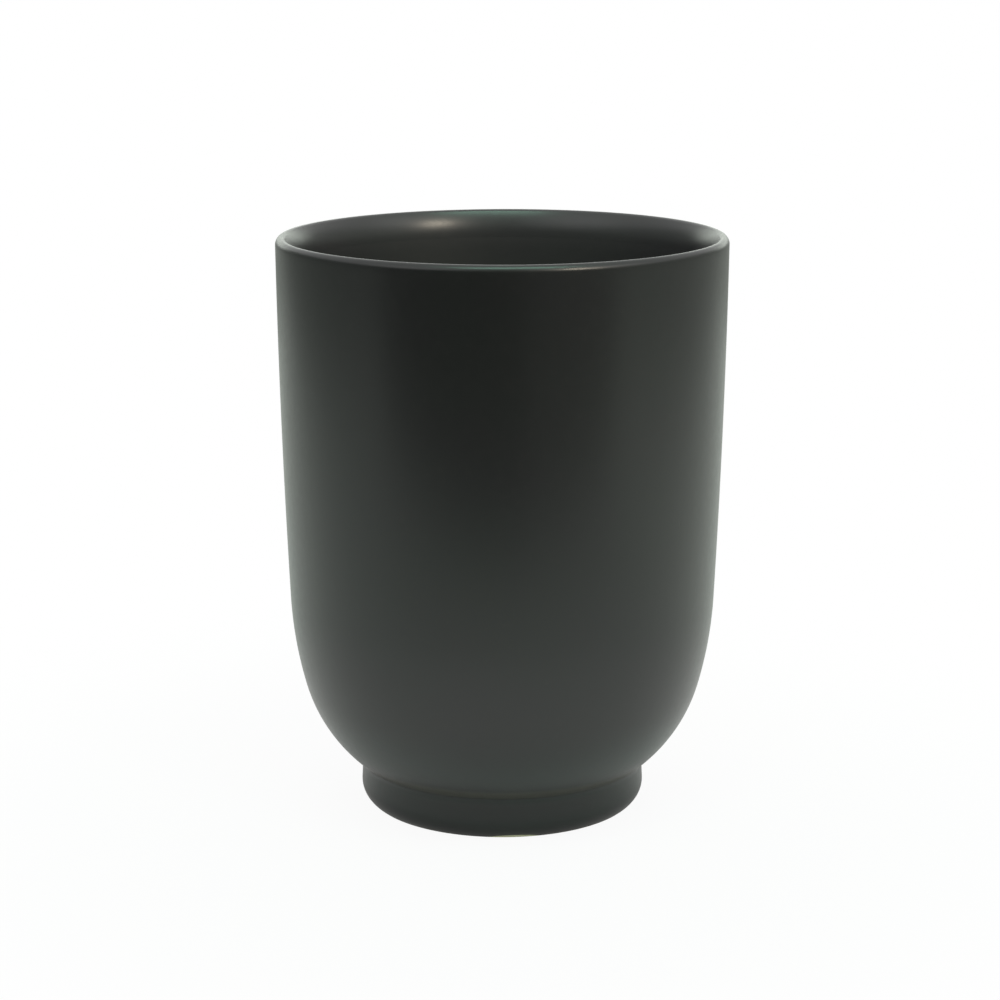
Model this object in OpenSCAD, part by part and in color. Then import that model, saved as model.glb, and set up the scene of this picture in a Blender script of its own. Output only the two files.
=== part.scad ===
// A tall stoneware cup with no handle, on a low foot, in a satin black glaze.
// Millimetres. The table is at z = 0, and the cup's axis of turning is Z.

/* [Cup] */
// Height from the table to the top of the lip
cup_h = 104; // [90:0.5:120]
// Widest diameter, across the lip
mouth_d = 80; // [68:0.5:92]

/* [Wall] */
// Thickness of the fired clay in the wall
wall_t = 2.4; // [2:0.1:3]
// Lean of the wall just under the lip, in degrees
lip_lean = 0.45; // [0.3:0.05:0.8]
// Lean of the wall where it starts to curve in, in degrees
shoulder_lean = 2.55; // [2.1:0.05:2.9]
// Radius of the slow curve below the wall
shoulder_r = 72; // [60:1:84]
// Lean of the wall where the slow curve passes into the round base, in degrees
base_lean = 15.5; // [12:0.5:20]
// Radius of the round base
base_r = 28.5; // [24:0.5:33]

/* [Floor] */
// Thickness of the fired clay in the middle of the floor
floor_t = 3.8; // [3:0.1:5]
// Depth of the hollow under the cup
well_depth = 4.8; // [4.2:0.1:6]

/* [Foot] */
// Height of the crease between the bowl and the foot
foot_h = 7.8; // [6.8:0.1:9]
// Diameter across the crease
neck_d = 51.2; // [44:0.4:56]
// How far the foot stands out past the crease
foot_flare = 0.2; // [0.1:0.05:0.6]
// Radius of the rounded outer edge of the foot
foot_edge_r = 3.8; // [3:0.1:4.4]
// Width of the flat ring that the cup stands on
rest_w = 2.2; // [1.6:0.1:3]
// Radius of the rounded edge between that ring and the hollow
well_edge_r = 0.8; // [0.5:0.1:1.2]
// Lean of the side of the hollow, in degrees
well_lean = 6; // [3:1:10]

/* [Glaze] */
// Thickness of the glaze
glaze_t = 0.3; // [0.2:0.05:0.4]
// Height of the clay that is left bare above the table
bare_h = 0.6; // [0.3:0.1:1.2]
// Radius to which the glaze fills the crease and the corner of the hollow
pool_r = 1.2; // [0.6:0.1:1.6]

/* [Hidden] */

// How far a curve may lie from the short lines that draw it
curve_tol = 0.02;
// Steps in one turn of the wheel
turn_fn = 120;

// The section is drawn at the face of the glaze, and the clay is that much deeper
clay = glaze_t;
full_t = wall_t + 2 * glaze_t;
lip_r = full_t / 2;
inner_r = shoulder_r - full_t;

// The chain of curves, hung from the lip, slides down until the round base meets the crease
lip_c = [mouth_d / 2 - lip_r, cup_h - lip_r];
neck = [neck_d / 2, foot_h];
run_lean = (lip_lean + shoulder_lean) / 2;
run_dir = -[sin(run_lean), cos(run_lean)];
hung_shoulder_c = on(on(lip_c, lip_r, -lip_lean), -shoulder_r, -shoulder_lean);
hung_base = on(hung_shoulder_c, shoulder_r - base_r, -base_lean) - neck;
slide = hung_base * run_dir;
wall_run = -slide - sqrt(slide * slide - hung_base * hung_base + base_r * base_r);

// Centres and radii of the outside, each curve touching the one before it
bow_r = wall_run / (2 * sin((shoulder_lean - lip_lean) / 2));
bow_c = on(lip_c, lip_r - bow_r, -lip_lean);
shoulder_c = hung_shoulder_c + wall_run * run_dir;
base_c = on(shoulder_c, shoulder_r - base_r, -base_lean);

// The drinking side keeps the wall's thickness, then rounds into a flat floor
under_h = well_depth + glaze_t;
floor_h = under_h + floor_t + glaze_t;
basin_r = (shoulder_c.y - floor_h - inner_r * sin(base_lean)) / (1 - sin(base_lean));
basin_c = on(shoulder_c, inner_r - basin_r, -base_lean);

// The side of the foot runs from the crease to its rounded edge
edge_out_r = foot_edge_r + glaze_t;
foot_c = [neck.x + foot_flare - edge_out_r, foot_edge_r];
foot_reach = neck - foot_c;
side_lean = atan2(foot_reach.y, foot_reach.x) - acos(edge_out_r / norm(foot_reach));
side_out = on([0, 0], 1, side_lean);
crease = under_bowl(base_r - clay, foot_edge_r);
crease_a = from_base(crease);
pool_c = under_bowl(base_r + pool_r, edge_out_r + pool_r);
pool_a = from_base(pool_c);

// The side of the hollow has its own rounded edge, and the glaze stops above it
well_edge_c = [foot_c.x - rest_w, well_edge_r];
well_top = well_side(under_h, 0);
well_bare_h = well_edge_r + bare_h;
well_pool_c = well_side(well_depth - pool_r, glaze_t + pool_r);

// A point on a circle
function on(c, r, a) = c + r * [cos(a), sin(a)];

// Points along an arc, both its ends among them
function arc(c, r, a0, a1) =
    let (n = ceil(abs(a1 - a0) / (2 * acos(1 - curve_tol / r))))
    [for (i = [0:n]) on(c, r, a0 + (a1 - a0) * i / n)];

function reversed(points) = [for (i = [len(points) - 1:-1:0]) points[i]];

// Direction of a point seen from the centre of the round base
function from_base(p) = atan2(p.y - base_c.y, p.x - base_c.x);

// The point under the bowl, far from the base's centre and out from the foot's, square to the foot's side
function under_bowl(far, out) =
    let (across = out + side_out * (foot_c - base_c))
    base_c + across * side_out + sqrt(far * far - across * across) * [side_out.y, -side_out.x];

// A point in the hollow at a height, in from the clay of its side
function well_side(h, in) =
    [well_edge_c.x - (well_edge_r + in) / cos(well_lean) - (h - well_edge_r) * tan(well_lean), h];

// The round edge of the foot, from its side down to a height
function foot_edge(r, h) = arc(foot_c, r, side_lean, -asin((foot_c.y - h) / r));

// The outside, from the inner edge of the lip to the round base
function outer_wall(deep) = concat(
    arc(lip_c, lip_r - deep, 180 - lip_lean, -lip_lean),
    arc(bow_c, bow_r - deep, -lip_lean, -shoulder_lean),
    arc(shoulder_c, shoulder_r - deep, -shoulder_lean, -base_lean)
);

// The drinking side, from the inner edge of the lip to the middle of the floor
function inner_wall(deep) = concat(
    arc(bow_c, bow_r - full_t + deep, -lip_lean, -shoulder_lean),
    arc(shoulder_c, inner_r + deep, -shoulder_lean, -base_lean),
    arc(basin_c, basin_r + deep, -base_lean, -90),
    [[0, floor_h - deep]]
);

// The clay of the outside, down to the crease
outer_clay = concat(
    outer_wall(clay),
    arc(base_c, base_r - clay, -base_lean, crease_a)
);

// The face of the glaze outside, down to where it ends above the table
outer_face = concat(
    outer_wall(0),
    arc(base_c, base_r, -base_lean, pool_a),
    arc(pool_c, pool_r, pool_a + 180, side_lean + 180),
    foot_edge(edge_out_r, bare_h)
);

// A solid turned from the points round its section, with repeated points left out
module turned(points) {
    n = len(points);
    function before(i) = points[(i + n - 1) % n];
    kept = [for (i = [0:n - 1]) if (norm(points[i] - before(i)) > curve_tol) points[i]];
    rotate_extrude($fn = turn_fn) polygon(kept);
}

// The cup itself: wall and floor in one, its underside cut to seat the foot
module bowl() {
    color("tan") turned(concat(
        outer_clay,
        [crease, well_top, [0, under_h]],
        reversed(inner_wall(clay))
    ));
}

// The foot: a ring luted on under the bowl
module foot_ring() {
    color("tan") turned(concat(
        [crease],
        foot_edge(foot_edge_r, 0),
        arc(well_edge_c, well_edge_r, -90, -180 + well_lean),
        [well_top]
    ));
}

// The glaze outside, over the lip and down the foot
module outer_glaze() {
    color([0.16, 0.17, 0.165]) turned(concat(
        outer_face,
        reversed(concat(outer_clay, foot_edge(foot_edge_r, bare_h)))
    ));
}

// The glaze inside, from the lip to the floor
module liner_glaze() {
    color([0.14, 0.145, 0.145]) turned(concat(inner_wall(0), reversed(inner_wall(clay))));
}

// The glaze in the hollow under the cup
module well_glaze() {
    color([0.16, 0.17, 0.165]) turned(concat(
        [[0, under_h], [0, well_depth]],
        arc(well_pool_c, pool_r, 90, well_lean),
        [well_side(well_bare_h, glaze_t), well_side(well_bare_h, 0), well_top]
    ));
}

bowl();
foot_ring();
outer_glaze();
liner_glaze();
well_glaze();
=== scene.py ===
import math

import bpy
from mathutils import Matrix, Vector


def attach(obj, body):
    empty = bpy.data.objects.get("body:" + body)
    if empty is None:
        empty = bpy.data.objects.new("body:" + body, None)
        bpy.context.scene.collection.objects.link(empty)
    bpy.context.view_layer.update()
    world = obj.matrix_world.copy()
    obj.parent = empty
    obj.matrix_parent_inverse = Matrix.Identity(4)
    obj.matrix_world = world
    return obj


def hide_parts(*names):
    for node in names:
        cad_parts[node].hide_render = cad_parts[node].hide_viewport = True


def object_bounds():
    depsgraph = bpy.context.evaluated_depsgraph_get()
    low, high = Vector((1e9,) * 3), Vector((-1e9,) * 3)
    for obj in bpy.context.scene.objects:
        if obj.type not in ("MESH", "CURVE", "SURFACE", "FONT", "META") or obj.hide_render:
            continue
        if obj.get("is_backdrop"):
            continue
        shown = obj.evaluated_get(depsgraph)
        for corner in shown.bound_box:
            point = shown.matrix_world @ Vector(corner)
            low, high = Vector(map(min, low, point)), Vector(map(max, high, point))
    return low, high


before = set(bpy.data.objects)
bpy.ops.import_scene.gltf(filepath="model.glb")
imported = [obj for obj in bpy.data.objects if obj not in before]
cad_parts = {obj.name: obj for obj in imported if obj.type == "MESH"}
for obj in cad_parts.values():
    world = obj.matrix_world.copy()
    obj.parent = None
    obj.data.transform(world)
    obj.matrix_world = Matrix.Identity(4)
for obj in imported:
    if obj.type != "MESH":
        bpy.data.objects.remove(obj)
cad_low, cad_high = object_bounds()


# The bowl is the cup itself, wall and floor in one piece of buff stoneware, its lip eased outside
# and rounder inside. Its section is drawn at the face of the glaze, set back by the coat, and
# turned. The kiln then draws it a little out of round, with the foot and every coat.
MM = 0.001
WALL = 3.0 * MM
COAT = 0.3 * MM
LIP_OUT_R = 1.4 * MM
LIP_OUT_TURN = 50
LIP_IN_R = 9.5 * MM
LIP_IN_TURN = 150
LIP_LEAN = 0.45
WALL_RUN = 63.622 * MM
SHOULDER_LEAN = 2.55
SHOULDER_R = 72 * MM
BASE_LEAN = 15.5
BASE_R = 28.5 * MM
FLOOR_H = 9.2 * MM
WELL_DEPTH = 4.8 * MM
CREASE_D = 51.2 * MM
CREASE_H = 7.8 * MM
FOOT_FLARE = 0.2 * MM
FOOT_EDGE_R = 3.8 * MM
REST_W = 2.2 * MM
WELL_EDGE_R = 0.8 * MM
WELL_LEAN = 6
TURN_STEPS = 240
STEP = 1.0 * MM
STRAIGHT_STEP = 2 * STEP
STEP_ANGLE = 8
LEAST_STEPS = 2
TOUCH = 0.002 * MM
ON_AXIS = 0.01 * MM
SMOOTH_ANGLE = math.radians(38)


def on_circle(centre, radius, degrees):
    """A point of the section, out from the axis and up from the table."""
    a = math.radians(degrees)
    return centre[0] + radius * math.cos(a), centre[1] + radius * math.sin(a)


def arc(centre, radius, start, end):
    """A round run of the section, from one direction to another, in degrees."""
    return {"centre": centre, "radius": radius, "start": start, "end": end}


def back(runs):
    """The same runs, drawn the other way."""
    return [
        dict(run, start=run["end"], end=run["start"]) if isinstance(run, dict) else run
        for run in reversed(runs)
    ]


def direction(centre, point):
    """The direction of a point seen from a centre, in degrees."""
    return math.degrees(math.atan2(point[1] - centre[1], point[0] - centre[0]))


def start_of(run):
    """Where a run of the section begins: an arc at its start, and a point at itself."""
    return on_circle(run["centre"], run["radius"], run["start"]) if isinstance(run, dict) else run


def extrude_to(here, there):
    """Draws a straight run in short lengths."""
    pieces = max(1, math.ceil(math.dist(here, there) / STRAIGHT_STEP))
    move = ((there[0] - here[0]) / pieces, 0, (there[1] - here[1]) / pieces)
    for _ in range(pieces):
        bpy.ops.mesh.extrude_region_move(TRANSFORM_OT_translate={"value": move})


def throw(name, runs):
    """Draws the section from one vertex, and turns it round the cup's axis."""
    bpy.ops.object.select_all(action="DESELECT")
    bpy.ops.mesh.primitive_plane_add(size=STEP)
    piece = bpy.context.object
    piece.name = piece.data.name = name
    bpy.ops.object.mode_set(mode="EDIT")
    bpy.ops.mesh.select_all(action="SELECT")
    bpy.ops.mesh.merge(type="CENTER")
    first = here = start_of(runs[0])
    bpy.ops.transform.translate(value=(first[0], 0, first[1]))
    for run in runs:
        start = start_of(run)
        if math.dist(here, start) > TOUCH:
            extrude_to(here, start)
            here = start
        if isinstance(run, dict):
            turn = run["end"] - run["start"]
            length = abs(math.radians(turn)) * run["radius"]
            steps = max(LEAST_STEPS, math.ceil(abs(turn) / STEP_ANGLE), math.ceil(length / STEP))
            middle = (run["centre"][0], 0, run["centre"][1])
            bpy.ops.mesh.spin(steps=steps, angle=math.radians(turn), center=middle, axis=(0, 1, 0))
            here = on_circle(run["centre"], run["radius"], run["end"])
    if first[0] > ON_AXIS and math.dist(here, first) > TOUCH:
        extrude_to(here, first)
    bpy.ops.mesh.select_all(action="SELECT")
    bpy.ops.mesh.remove_doubles(threshold=TOUCH)
    bpy.ops.mesh.select_all(action="SELECT")
    bpy.ops.mesh.spin(steps=TURN_STEPS, angle=math.tau, center=(0, 0, 0), axis=(0, 0, 1))
    bpy.ops.mesh.select_all(action="SELECT")
    bpy.ops.mesh.remove_doubles(threshold=TOUCH)
    bpy.ops.mesh.normals_make_consistent(inside=False)
    bpy.ops.object.mode_set(mode="OBJECT")
    return piece


# The centres of the arcs that make up the section, each arc touching the one before it
lip_c = (cad_high[0] - WALL / 2, cad_high[2] - WALL / 2)
bow_r = WALL_RUN / (2 * math.sin(math.radians((SHOULDER_LEAN - LIP_LEAN) / 2)))
bow_c = on_circle(lip_c, WALL / 2 - bow_r, -LIP_LEAN)
out_turn, in_turn = LIP_OUT_TURN - LIP_LEAN, LIP_IN_TURN - LIP_LEAN
out_cos, in_cos = math.cos(math.radians(LIP_OUT_TURN)), math.cos(math.radians(LIP_IN_TURN))
crest_r = (WALL - LIP_OUT_R * (1 - out_cos) - LIP_IN_R * (1 + in_cos)) / (out_cos - in_cos)
out_h = cad_high[2] - crest_r - (LIP_OUT_R - crest_r) * math.sin(math.radians(out_turn))
wall_from = math.degrees(math.asin((out_h - bow_c[1]) / (bow_r - LIP_OUT_R)))
out_c = on_circle(bow_c, bow_r - LIP_OUT_R, wall_from)
crest_c = on_circle(out_c, LIP_OUT_R - crest_r, out_turn)
in_c = on_circle(crest_c, crest_r - LIP_IN_R, in_turn)
liner_from = direction(bow_c, on_circle(in_c, LIP_IN_R, 180 - LIP_LEAN))
shoulder_c = on_circle(bow_c, bow_r - SHOULDER_R, -SHOULDER_LEAN)
base_c = on_circle(shoulder_c, SHOULDER_R - BASE_R, -BASE_LEAN)
inner_r = SHOULDER_R - WALL
lean_sin = math.sin(math.radians(BASE_LEAN))
basin_r = (shoulder_c[1] - FLOOR_H - inner_r * lean_sin) / (1 - lean_sin)
basin_c = on_circle(shoulder_c, inner_r - basin_r, -BASE_LEAN)

neck = (CREASE_D / 2, CREASE_H)
edge_out_r = FOOT_EDGE_R + COAT
foot_c = (neck[0] + FOOT_FLARE - edge_out_r, FOOT_EDGE_R)
to_side = math.degrees(math.acos(edge_out_r / math.dist(neck, foot_c)))
side_lean = direction(foot_c, neck) - to_side
well_edge_c = (foot_c[0] - REST_W, WELL_EDGE_R)
under_h = WELL_DEPTH + COAT


def under_bowl(far, out):
    """The point under the bowl that is far from the base's centre and out from the foot's."""
    side = on_circle((0, 0), 1, side_lean)
    across = out + side[0] * (foot_c[0] - base_c[0]) + side[1] * (foot_c[1] - base_c[1])
    down = math.sqrt(far * far - across * across)
    return (
        base_c[0] + across * side[0] + down * side[1],
        base_c[1] + across * side[1] - down * side[0],
    )


def well_side(height, inside):
    """The side of the hollow under the cup at a height, in from its clay."""
    lean = math.radians(WELL_LEAN)
    edge = (WELL_EDGE_R + inside) / math.cos(lean)
    return well_edge_c[0] - edge - (height - WELL_EDGE_R) * math.tan(lean), height


def outer_wall(deep):
    """The outside from the inner edge of the lip to the round base."""
    return [
        arc(in_c, LIP_IN_R - deep, 180 - LIP_LEAN, in_turn),
        arc(crest_c, crest_r - deep, in_turn, out_turn),
        arc(out_c, LIP_OUT_R - deep, out_turn, wall_from),
        arc(bow_c, bow_r - deep, wall_from, -SHOULDER_LEAN),
        arc(shoulder_c, SHOULDER_R - deep, -SHOULDER_LEAN, -BASE_LEAN),
    ]


def inner_wall(deep):
    """The drinking side from the lip to the middle of the floor."""
    return [
        arc(bow_c, bow_r - WALL + deep, liner_from, -SHOULDER_LEAN),
        arc(shoulder_c, inner_r + deep, -SHOULDER_LEAN, -BASE_LEAN),
        arc(basin_c, basin_r + deep, -BASE_LEAN, -90),
        (0, FLOOR_H - deep),
    ]


crease = under_bowl(BASE_R - COAT, FOOT_EDGE_R)
well_top = well_side(under_h, 0)
outer_clay = outer_wall(COAT) + [
    arc(base_c, BASE_R - COAT, -BASE_LEAN, direction(base_c, crease)),
]

# The kiln's pull: a lattice round the cup, still at the foot and freer towards the lip
KILN_POINTS = (5, 5, 6)
KILN_SIZE = (0.1, 0.1, 0.13)
KILN_MIDDLE = 0.052
WARP_FROM = -0.4
LIP_TILT = 0.12 * MM
LIP_TWIST = 0.1 * MM
LIP_DROP = 0.12 * MM
OUT_OF_ROUND = 0.02 * MM
SQUEEZE_SWING, SWING_ACROSS, SWING_UP = 0.6, 3, 1.3
SQUEEZE_BACK = 0.5

bpy.ops.object.select_all(action="DESELECT")
bpy.ops.object.add(type="LATTICE", location=(0, 0, KILN_MIDDLE))
kiln = bpy.context.object
kiln.name = "kiln_warp"
kiln.scale = KILN_SIZE
kiln.data.points_u, kiln.data.points_v, kiln.data.points_w = KILN_POINTS
for point in kiln.data.points:
    u, v, w = (2 * c for c in point.co)
    high = max(0.0, (w - WARP_FROM) / (1 - WARP_FROM)) ** 2
    swing = 1 + SQUEEZE_SWING * math.sin(SWING_ACROSS * u + SWING_UP * w)
    squeeze = -OUT_OF_ROUND * high * swing
    lift = high * (LIP_TILT * u + LIP_TWIST * u * v - LIP_DROP)
    point.co_deform = (
        point.co[0] + squeeze * u / KILN_SIZE[0],
        point.co[1] + SQUEEZE_BACK * squeeze * v / KILN_SIZE[1],
        point.co[2] + lift / KILN_SIZE[2],
    )


def fire(piece):
    """Warps a piece as the kiln does, the same for every coat, and shades it."""
    bpy.ops.object.select_all(action="DESELECT")
    piece.select_set(True)
    bpy.context.view_layer.objects.active = piece
    warp = piece.modifiers.new("kiln", "LATTICE")
    warp.object = kiln
    bpy.ops.object.modifier_apply(modifier=warp.name)
    bpy.ops.object.shade_smooth_by_angle(angle=SMOOTH_ANGLE)


class Wire:
    """A number in a finish: sums and products on it add Math nodes."""

    def __init__(self, finish, socket):
        self.finish, self.socket = finish, socket

    def sum(self, operation, *values):
        return self.finish.node("Math", {"operation": operation}, dict(enumerate(values)))

    def __add__(self, other):
        return self.sum("ADD", self, other)

    def __sub__(self, other):
        return self.sum("SUBTRACT", self, other)

    def __rsub__(self, other):
        return self.sum("SUBTRACT", other, self)

    def __mul__(self, other):
        return self.sum("MULTIPLY", self, other)

    __radd__, __rmul__ = __add__, __mul__

    def step(self, low, high):
        """0 below low, 1 above high, and smooth between."""
        sockets = {"Value": self, "From Min": low, "From Max": high}
        return self.finish.node("MapRange", {"interpolation_type": "SMOOTHSTEP"}, sockets)


class Finish:
    """A material whose nodes are added one at a time."""

    def __init__(self, name):
        self.material = bpy.data.materials.new(name)
        self.material.use_nodes = True
        self.tree = self.material.node_tree
        self.tree.nodes.clear()
        self.place = self.node("TexCoord", out="Object")

    def node(self, kind, settings=None, sockets=None, out=0):
        """Any node: its type, its settings, the values or links of its sockets, and its output."""
        made = self.tree.nodes.new("ShaderNode" + kind)
        for key, value in (settings or {}).items():
            setattr(made, key, value)
        for key, value in (sockets or {}).items():
            if isinstance(value, Wire):
                self.tree.links.new(value.socket, made.inputs[key])
            else:
                made.inputs[key].default_value = value
        return Wire(self, made.outputs[out])

    def noise(self, grain, detail=2.0):
        """Cloudy variation, with its grain in metres."""
        sockets = {"Vector": self.place, "Scale": 1 / grain, "Detail": detail}
        return self.node("TexNoise", {}, sockets)

    def specks(self, grain):
        """The distance to the nearest of scattered points, as a share of their spacing."""
        return self.node("TexVoronoi", {}, {"Vector": self.place, "Scale": 1 / grain})

    def blend(self, factor, first, second):
        return self.node("Mix", {"data_type": "RGBA"}, {0: factor, 6: first, 7: second}, 2)

    def along(self, axis):
        """How far along an axis: 0 to the right, 1 back, 2 up from the table."""
        return self.node("SeparateXYZ", {}, {0: self.place}, axis)

    def vector(self, operation, first, second):
        return self.node("VectorMath", {"operation": operation}, {0: first, 1: second})

    def length(self, vector):
        return self.node("VectorMath", {"operation": "LENGTH"}, {0: vector}, 1)

    def surface(self, colour, roughness, relief, depth):
        """The finished surface, with relief from 0 to 1 standing so deep."""
        bump = self.node("Bump", {}, {"Height": relief, "Strength": 1.0, "Distance": depth})
        sockets = {"Base Color": colour, "Roughness": roughness, "Normal": bump}
        return self.close(self.node("BsdfPrincipled", {}, sockets))

    def close(self, shader):
        """Ends the material with its shader."""
        made = self.tree.nodes.new("ShaderNodeOutputMaterial")
        self.tree.links.new(shader.socket, made.inputs["Surface"])
        return self.material


def wear(piece, material):
    """Gives a piece its finish."""
    piece.data.materials.clear()
    piece.data.materials.append(material)


BUFF = (0.52, 0.50, 0.34, 1)
TOASTED = (0.44, 0.36, 0.22, 1)
IRON = (0.16, 0.09, 0.05, 1)
SAND_GRAIN, SAND_DETAIL, SAND_DARK, SAND_SHARE = 0.5 * MM, 4, (0.5, 0.9), 0.35
GROG_GRAIN, GROG_EDGE = 1.1 * MM, (0.0, 0.4)
IRON_GRAIN, IRON_EDGE, IRON_SHARE = 1.7 * MM, (0.06, 0.13), 0.7
TOAST_GRAIN, TOAST_EDGE, TOAST_SHARE = 14 * MM, (0.45, 0.75), 0.5
CLAY_ROUGH, SAND_ROUGH = 0.78, 0.2
SAND_RELIEF, GROG_RELIEF, CLAY_DEPTH = 0.6, 0.4, 0.05 * MM

clay = Finish("stoneware")
sand = clay.noise(SAND_GRAIN, SAND_DETAIL)
grog = clay.specks(GROG_GRAIN).step(*GROG_EDGE)
iron = 1 - clay.specks(IRON_GRAIN).step(*IRON_EDGE)
toast = clay.noise(TOAST_GRAIN).step(*TOAST_EDGE)
clay_colour = clay.blend(toast * TOAST_SHARE, BUFF, TOASTED)
clay_colour = clay.blend(sand.step(*SAND_DARK) * SAND_SHARE, clay_colour, TOASTED)
clay_colour = clay.blend(iron * IRON_SHARE, clay_colour, IRON)
clay_rough = CLAY_ROUGH + sand * SAND_ROUGH
clay_relief = sand * SAND_RELIEF + grog * GROG_RELIEF
stoneware = clay.surface(clay_colour, clay_rough, clay_relief, CLAY_DEPTH)

bowl = throw(
    "bowl_clay",
    back(inner_wall(COAT)) + outer_clay + [crease, well_top, (0, under_h)],
)
fire(bowl)
wear(bowl, stoneware)
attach(bowl, "root")
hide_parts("bowl")


# The foot is a ring of the same clay, luted under the bowl with slip. It stands on a narrow flat
# ring, which is wiped clean of glaze so that the cup doesn't stick to the kiln shelf.
foot = throw(
    "foot_clay",
    [
        crease,
        arc(foot_c, FOOT_EDGE_R, side_lean, -90),
        arc(well_edge_c, WELL_EDGE_R, -90, -180 + WELL_LEAN),
        well_top,
    ],
)
fire(foot)
wear(foot, stoneware)
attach(foot, "root")
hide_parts("foot_ring")


# The outer glaze is a satin black coat, dipped. It runs over the lip and down the foot, pools in
# the crease, and ends in a thin bead just above the table. Its colour is painted darker up the wall
# and on the foot as painted shade, and lighter in the round base as a painted reflection of the
# sheet. Over the lip, where the glaze is thinner, and in the crease, where it pools, it is lighter
# too, partly as a painted highlight. A spot at the foot's front is wiped bare, and its clay is
# painted paler than the clay as painted bounce light from the sheet.
POOL_R = 2.0 * MM
GLAZE_END = 0.35 * MM

pool_c = under_bowl(BASE_R + POOL_R, edge_out_r + POOL_R)
pool_from = direction(base_c, pool_c)
bead_r = COAT / 2
bead_at = -math.degrees(math.asin((foot_c[1] - GLAZE_END - bead_r) / (FOOT_EDGE_R + bead_r)))
outer_face = outer_wall(0) + [
    arc(base_c, BASE_R, -BASE_LEAN, pool_from),
    arc(pool_c, POOL_R, pool_from + 180, side_lean + 180),
    arc(foot_c, edge_out_r, side_lean, bead_at),
]
bead = arc(on_circle(foot_c, FOOT_EDGE_R + bead_r, bead_at), bead_r, bead_at, bead_at - 180)
foot_face = arc(foot_c, FOOT_EDGE_R, bead_at, side_lean)
outer_glaze = throw("outer_glaze_coat", outer_face + [bead, foot_face, crease] + back(outer_clay))
fire(outer_glaze)

FULL_BLACK = (0, 0, 0, 1)
BLACK = (0.0192, 0.0186, 0.0194, 1)
GREEN_BLACK = (0.0190, 0.0201, 0.0195, 1)
BROWN_BLACK = (0.030, 0.0275, 0.0250, 1)
GREY_BLACK = (0.051, 0.047, 0.050, 1)
# The crease's lighter brown: pooled glaze and a painted highlight.
CREASE_POOL_AND_HIGHLIGHT = (0.062, 0.058, 0.050, 1)
DUST = (0.16, 0.15, 0.12, 1)
# The wiped spot's clay, paler than the clay itself: painted bounce light from the sheet.
PALE_PAINTED_LIT_CLAY = (0.64, 0.64, 0.43, 1)
NOISE_MIDDLE = 0.5
DRIFT_GRAIN, DRIFT_EDGE = 26 * MM, (0.3, 0.7)
MOTTLE_GRAIN, MOTTLE_DETAIL, MOTTLE_EDGE, MOTTLE_SHARE = 1.3 * MM, 3, (0.55, 0.8), 0.25
CRYSTAL_GRAIN = 0.22 * MM
SKIN_GRAIN = 3.4 * MM
PINHOLE_GRAIN, PINHOLE_EDGE = 9 * MM, (0.014, 0.03)
DUST_GRAIN, DUST_EDGE = 24 * MM, (0.004, 0.009)
MOTTLE_ROUGH, CRYSTAL_ROUGH = 0.08, 0.06
SKIN_RELIEF, MOTTLE_RELIEF, CRYSTAL_RELIEF, PINHOLE_RELIEF = 0.5, 0.12, 0.05, 0.6
GLAZE_DEPTH = 0.02 * MM
OUTER_ROUGH = 0.31
# Lighter over the lip, where the glaze is thinner and as a painted highlight.
NEAR_LIP, OVER_LIP, LIP_THIN_AND_HIGHLIGHT = (96 * MM, 99 * MM), (38.6 * MM, 39.6 * MM), 0.32
# The liner is a little lighter all over, and lighter near the lip as thinner glaze and a painted
# glow.
LINER_THIN, LINER_LIP_THIN_AND_GLOW = 0.18, 0.2
# Darker up the wall and on the foot: painted shade in the glaze's colour.
UP_WALL, UPPER_WALL_PAINTED_SHADE = (30 * MM, 100 * MM), 0.35
ON_FOOT, FOOT_PAINTED_SHADE = (6 * MM, 8 * MM), 0.25
# Lighter in the round base: a painted reflection of the white sheet below.
ROUND_FROM, ROUND_TO, ROUND_PAINTED_REFLECTION = (9 * MM, 16 * MM), (25 * MM, 55 * MM), 0.2
CREASE_FROM, CREASE_TO = (7.9 * MM, 8.7 * MM), (9.5 * MM, 10.6 * MM)
WIPED_AT, WIPED_REACH = (2.2 * MM, -24.1 * MM, 0.0), (5.2 * MM, 3.0 * MM, 1.05 * MM)
WIPED_EDGE, WIPED_RAGGED, WIPED_ROUGH = (0.9, 1.0), 0.1, 0.4


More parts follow.
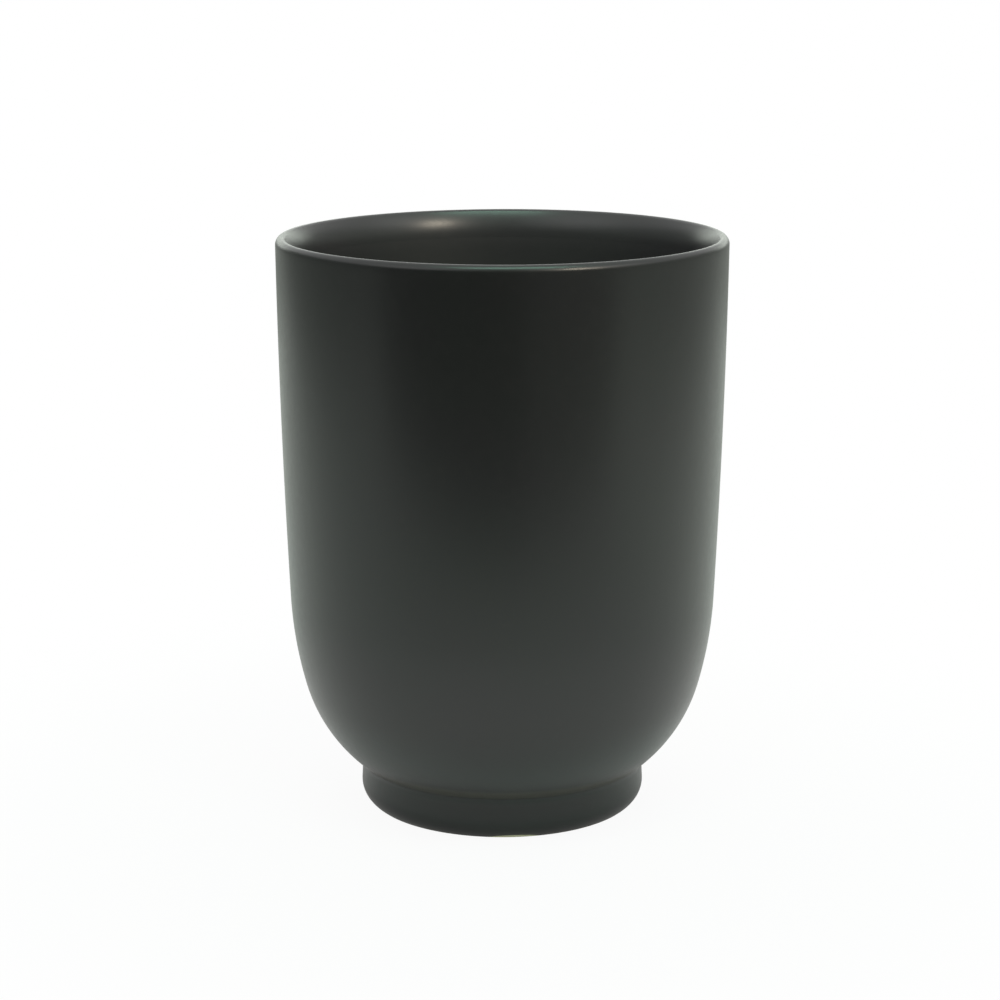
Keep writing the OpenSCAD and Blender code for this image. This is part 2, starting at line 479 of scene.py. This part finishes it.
def dipped(coat, colour, rough, mottle):
    """The outer coat's tone over the cup, from the lip to the foot, with painted shade and painted
    light laid into it, and its wiped spot.
    """
    up = coat.along(2)
    out = coat.length(coat.vector("MULTIPLY", coat.place, (1, 1, 0)))
    over_lip = up.step(*NEAR_LIP) * (1 - out.step(*OVER_LIP))
    in_round = up.step(*ROUND_FROM) * (1 - up.step(*ROUND_TO))
    in_crease = up.step(*CREASE_FROM) * (1 - up.step(*CREASE_TO))
    on_foot = 1 - up.step(*ON_FOOT)
    # Painted shade: the glaze is painted darker up the wall and on the foot.
    painted_shade = up.step(*UP_WALL) * UPPER_WALL_PAINTED_SHADE * (1 - over_lip) + on_foot * FOOT_PAINTED_SHADE
    colour = coat.blend(painted_shade, colour, FULL_BLACK)
    # Painted reflection of the sheet in the round base; over the lip, thinner glaze and a painted
    # highlight.
    colour = coat.blend(in_round * ROUND_PAINTED_REFLECTION + over_lip * LIP_THIN_AND_HIGHLIGHT, colour, GREY_BLACK)
    # Lighter in the crease: pooled glaze and a painted highlight.
    colour = coat.blend(in_crease, colour, CREASE_POOL_AND_HIGHLIGHT)
    from_spot = coat.vector("SUBTRACT", coat.place, WIPED_AT)
    from_spot = coat.length(coat.vector("DIVIDE", from_spot, WIPED_REACH))
    bare = 1 - (from_spot + (mottle - NOISE_MIDDLE) * WIPED_RAGGED).step(*WIPED_EDGE)
    # The wiped spot shows the clay painted paler than it is, as painted bounce light.
    return coat.blend(bare, colour, PALE_PAINTED_LIT_CLAY), rough + bare * WIPED_ROUGH


def poured(coat, colour):
    """The liner's tone, a little thinner all over, and lighter near the lip, where it is thinnest
    and as a painted glow.
    """
    thin_and_glow = coat.along(2).step(*NEAR_LIP) * LINER_LIP_THIN_AND_GLOW + LINER_THIN
    return coat.blend(thin_and_glow, colour, GREY_BLACK)


def satin_black(name, roughness, dip):
    """The satin black glaze: crystals, a slow drift of tone, and a few pinholes and pale specks."""
    coat = Finish(name)
    mottle = coat.noise(MOTTLE_GRAIN, MOTTLE_DETAIL)
    crystals = coat.noise(CRYSTAL_GRAIN)
    skin = coat.noise(SKIN_GRAIN)
    pinholes = 1 - coat.specks(PINHOLE_GRAIN).step(*PINHOLE_EDGE)
    dust = 1 - coat.specks(DUST_GRAIN).step(*DUST_EDGE)
    colour = coat.blend(coat.noise(DRIFT_GRAIN).step(*DRIFT_EDGE), BLACK, GREEN_BLACK)
    colour = coat.blend(mottle.step(*MOTTLE_EDGE) * MOTTLE_SHARE, colour, BROWN_BLACK)
    rough = roughness + (mottle - NOISE_MIDDLE) * MOTTLE_ROUGH
    rough = rough + (crystals - NOISE_MIDDLE) * CRYSTAL_ROUGH
    if dip:
        colour, rough = dipped(coat, coat.blend(dust, colour, DUST), rough, mottle)
    else:
        colour = coat.blend(dust, poured(coat, colour), DUST)
    relief = skin * SKIN_RELIEF + mottle * MOTTLE_RELIEF + crystals * CRYSTAL_RELIEF
    return coat.surface(colour, rough, relief - pinholes * PINHOLE_RELIEF, GLAZE_DEPTH)


black_glaze = satin_black("black_glaze", OUTER_ROUGH, dip=True)
wear(outer_glaze, black_glaze)
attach(outer_glaze, "root")
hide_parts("outer_glaze")


# The liner glaze is the same black, poured inside first and drained, so that it lies a little
# thinner. It meets the outer coat where the round of the lip ends.
LINER_ROUGH = 0.43

liner = throw("liner_glaze_coat", back(inner_wall(COAT)) + inner_wall(0))
fire(liner)
wear(liner, satin_black("liner_glaze", LINER_ROUGH, dip=False))
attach(liner, "root")
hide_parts("liner_glaze")


# The hollow under the cup is glazed too, from its middle down to just above the ring it stands on,
# with a small round in the corner where the glaze gathered.
WELL_BARE = 1.4 * MM

well_pool_c = well_side(WELL_DEPTH - POOL_R, COAT + POOL_R)
well = throw(
    "well_glaze_coat",
    [
        (0, under_h),
        well_top,
        well_side(WELL_BARE, 0),
        well_side(WELL_BARE, COAT),
        arc(well_pool_c, POOL_R, WELL_LEAN, 90),
        (0, WELL_DEPTH),
    ],
)
fire(well)
wear(well, black_glaze)
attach(well, "root")
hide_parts("well_glaze")

bpy.data.objects.remove(kiln)


# The studio: a white sheet under the cup and a white sky, grey boards low round it that the camera
# doesn't see, a cool lamp high in front, two soft windows and a small warm lamp. The sheet is clear
# from below, so that the underside of the cup can be looked at.
WHITE = (1, 1, 1, 1)
GREY = (1, 1, 1, 1)
GREENISH = (0.93, 1.0, 0.91, 1)
PAPER = (0.8, 0.8, 0.8, 1)
UNDER_CUP = (1, 1, 0.96, 1)
SHEET_SIZE = 12
SHADE, SEEN_UNDER, SEEN_RISE = (0.06, 0.16), 0.94, 0.06
# For the cup's light and reflections the sheet glows by itself, 0.22 of white near the foot rising
# to 0.65 farther out and a seventh dimmer at the left: a painted contact shadow and painted shade
# in its glow.
FOOT_SHADE, GLOW_UNDER, GLOW_RISE = (0.028, 0.062), 0.22, 0.43
LEFT_SHADE, LEFT_DIM = (-0.07, -0.02), 0.14

sheet = Finish("white_sheet")
paper = sheet.node("BsdfDiffuse", {}, {"Color": PAPER})
off = sheet.length(sheet.place)
seen = sheet.node("LightPath", out="Is Camera Ray")
left = 1 - sheet.along(0).step(*LEFT_SHADE)
hue = sheet.blend(off.step(*SHADE), UNDER_CUP, GREENISH)
seen_glow = SEEN_UNDER + off.step(*SHADE) * SEEN_RISE
cast_glow = (GLOW_UNDER + off.step(*FOOT_SHADE) * GLOW_RISE) * (1 - left * LEFT_DIM)
glow = seen * seen_glow + (1 - seen) * cast_glow
white = sheet.node("Emission", {}, {"Color": sheet.blend(seen, hue, WHITE), "Strength": 1.0})
lit = sheet.node("MixShader", {}, {0: glow, 1: paper, 2: white})
clear = sheet.node("BsdfTransparent")
from_below = sheet.node("NewGeometry", out="Backfacing")
sheet.close(sheet.node("MixShader", {}, {0: from_below, 1: lit, 2: clear}))

bpy.ops.object.select_all(action="DESELECT")
bpy.ops.mesh.primitive_plane_add(size=SHEET_SIZE)
floor = bpy.context.object
floor.name = "white_sheet"
wear(floor, sheet.material)
floor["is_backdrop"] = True

# Each board's middle, turn in degrees, width and height, brightness and tint
BOARDS = {
    "left": ((-0.42, 0, 0.135), (0, 90, 0), (0.27, 1.0), 0.25, GREENISH),
    "right": ((0.42, 0, 0.135), (0, -90, 0), (0.27, 1.0), 0.44, GREENISH),
    "behind left": ((-0.34, 0.5, 0.06), (90, 0, 0), (0.38, 0.12), 0.5, GREENISH),
    "behind": ((0, 0.5, 0.06), (90, 0, 0), (0.3, 0.12), 1.1, GREENISH),
    "behind right": ((0.34, 0.5, 0.06), (90, 0, 0), (0.38, 0.12), 0.5, GREENISH),
    "rim light": ((0, 0.5, 0.2), (90, 0, 0), (1.1, 0.12), 2.2, GREENISH),
    "front": ((-0.13, -0.17, 0.09), (-90, 0, 0), (0.32, 0.156), 0.05, GREY),
    "front right": ((0.14, -0.17, 0.09), (-90, 0, 0), (0.22, 0.156), 0.15, GREY),
    "far": ((0, -0.75, 0.19), (-90, 0, 0), (1.4, 0.38), 0.1, GREY),
    "over camera": ((0, -0.62, 0.5), (-90, 0, 0), (0.3, 0.42), 0.4, GREENISH),
}
for name, (place, turn, size, level, tint) in BOARDS.items():
    card = Finish("board " + name)
    card.close(card.node("Emission", {}, {"Color": tint, "Strength": level}))
    rotation = [math.radians(t) for t in turn]
    bpy.ops.mesh.primitive_plane_add(size=1, location=place, rotation=rotation)
    board = bpy.context.object
    board.name = "board " + name
    board.scale = (size[0], size[1], 1)
    board.visible_camera = False
    wear(board, card.material)
    board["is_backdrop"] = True

# Each lamp's middle, width and height, brightness and tint
LAMPS = {
    "cool": ((0.056, -0.38, 0.86), (0.6, 0.22), 7.0, (0.5, 1, 0.75)),
    "left": ((-0.6, -0.47, 0.6), (0.6, 0.3), 0.5, (1, 1, 1)),
    "right": ((0.66, -0.38, 0.6), (0.6, 0.3), 0.75, (1, 1, 1)),
    "warm": ((0.51, -0.61, 0.523), (0.12, 0.12), 46.0, (1, 0.88, 0.7)),
}
LIP_MIDDLE = Vector((0, 0, 0.1))
for name, (place, size, brightness, tint) in LAMPS.items():
    aim = (LIP_MIDDLE - Vector(place)).to_track_quat("-Z", "Y").to_euler()
    bpy.ops.object.light_add(type="AREA", location=place, rotation=aim)
    lamp = bpy.context.object
    lamp.name = name
    lamp.data.shape = "RECTANGLE"
    lamp.data.size, lamp.data.size_y = size
    lamp.data.energy = brightness * math.pi * size[0] * size[1]
    lamp.data.color = tint

world = bpy.data.worlds.new("studio")
bpy.context.scene.world = world
world.use_nodes = True
sky = world.node_tree.nodes["Background"]
sky.inputs["Color"].default_value = WHITE
sky.inputs["Strength"].default_value = 1.0

CAMERA_AT = (0, -0.46575, 0.16264)
CAMERA_PITCH = 12.909
CAMERA_YAW = 0.00087
FOCAL_PIXELS = 2647.7
FRAME_PIXELS = 1000
SENSOR = 36
NEAREST = 0.01
bpy.ops.object.camera_add(
    location=CAMERA_AT,
    rotation=(math.radians(90 - CAMERA_PITCH), 0, CAMERA_YAW),
)
camera = bpy.context.object
camera.data.sensor_width = SENSOR
camera.data.lens = FOCAL_PIXELS * SENSOR / FRAME_PIXELS
camera.data.clip_start = NEAREST
bpy.context.scene.camera = camera
bpy.context.scene.view_settings.view_transform = "Standard"

size = {"cad": [list(cad_low), list(cad_high)], "visual": [list(c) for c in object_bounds()]}
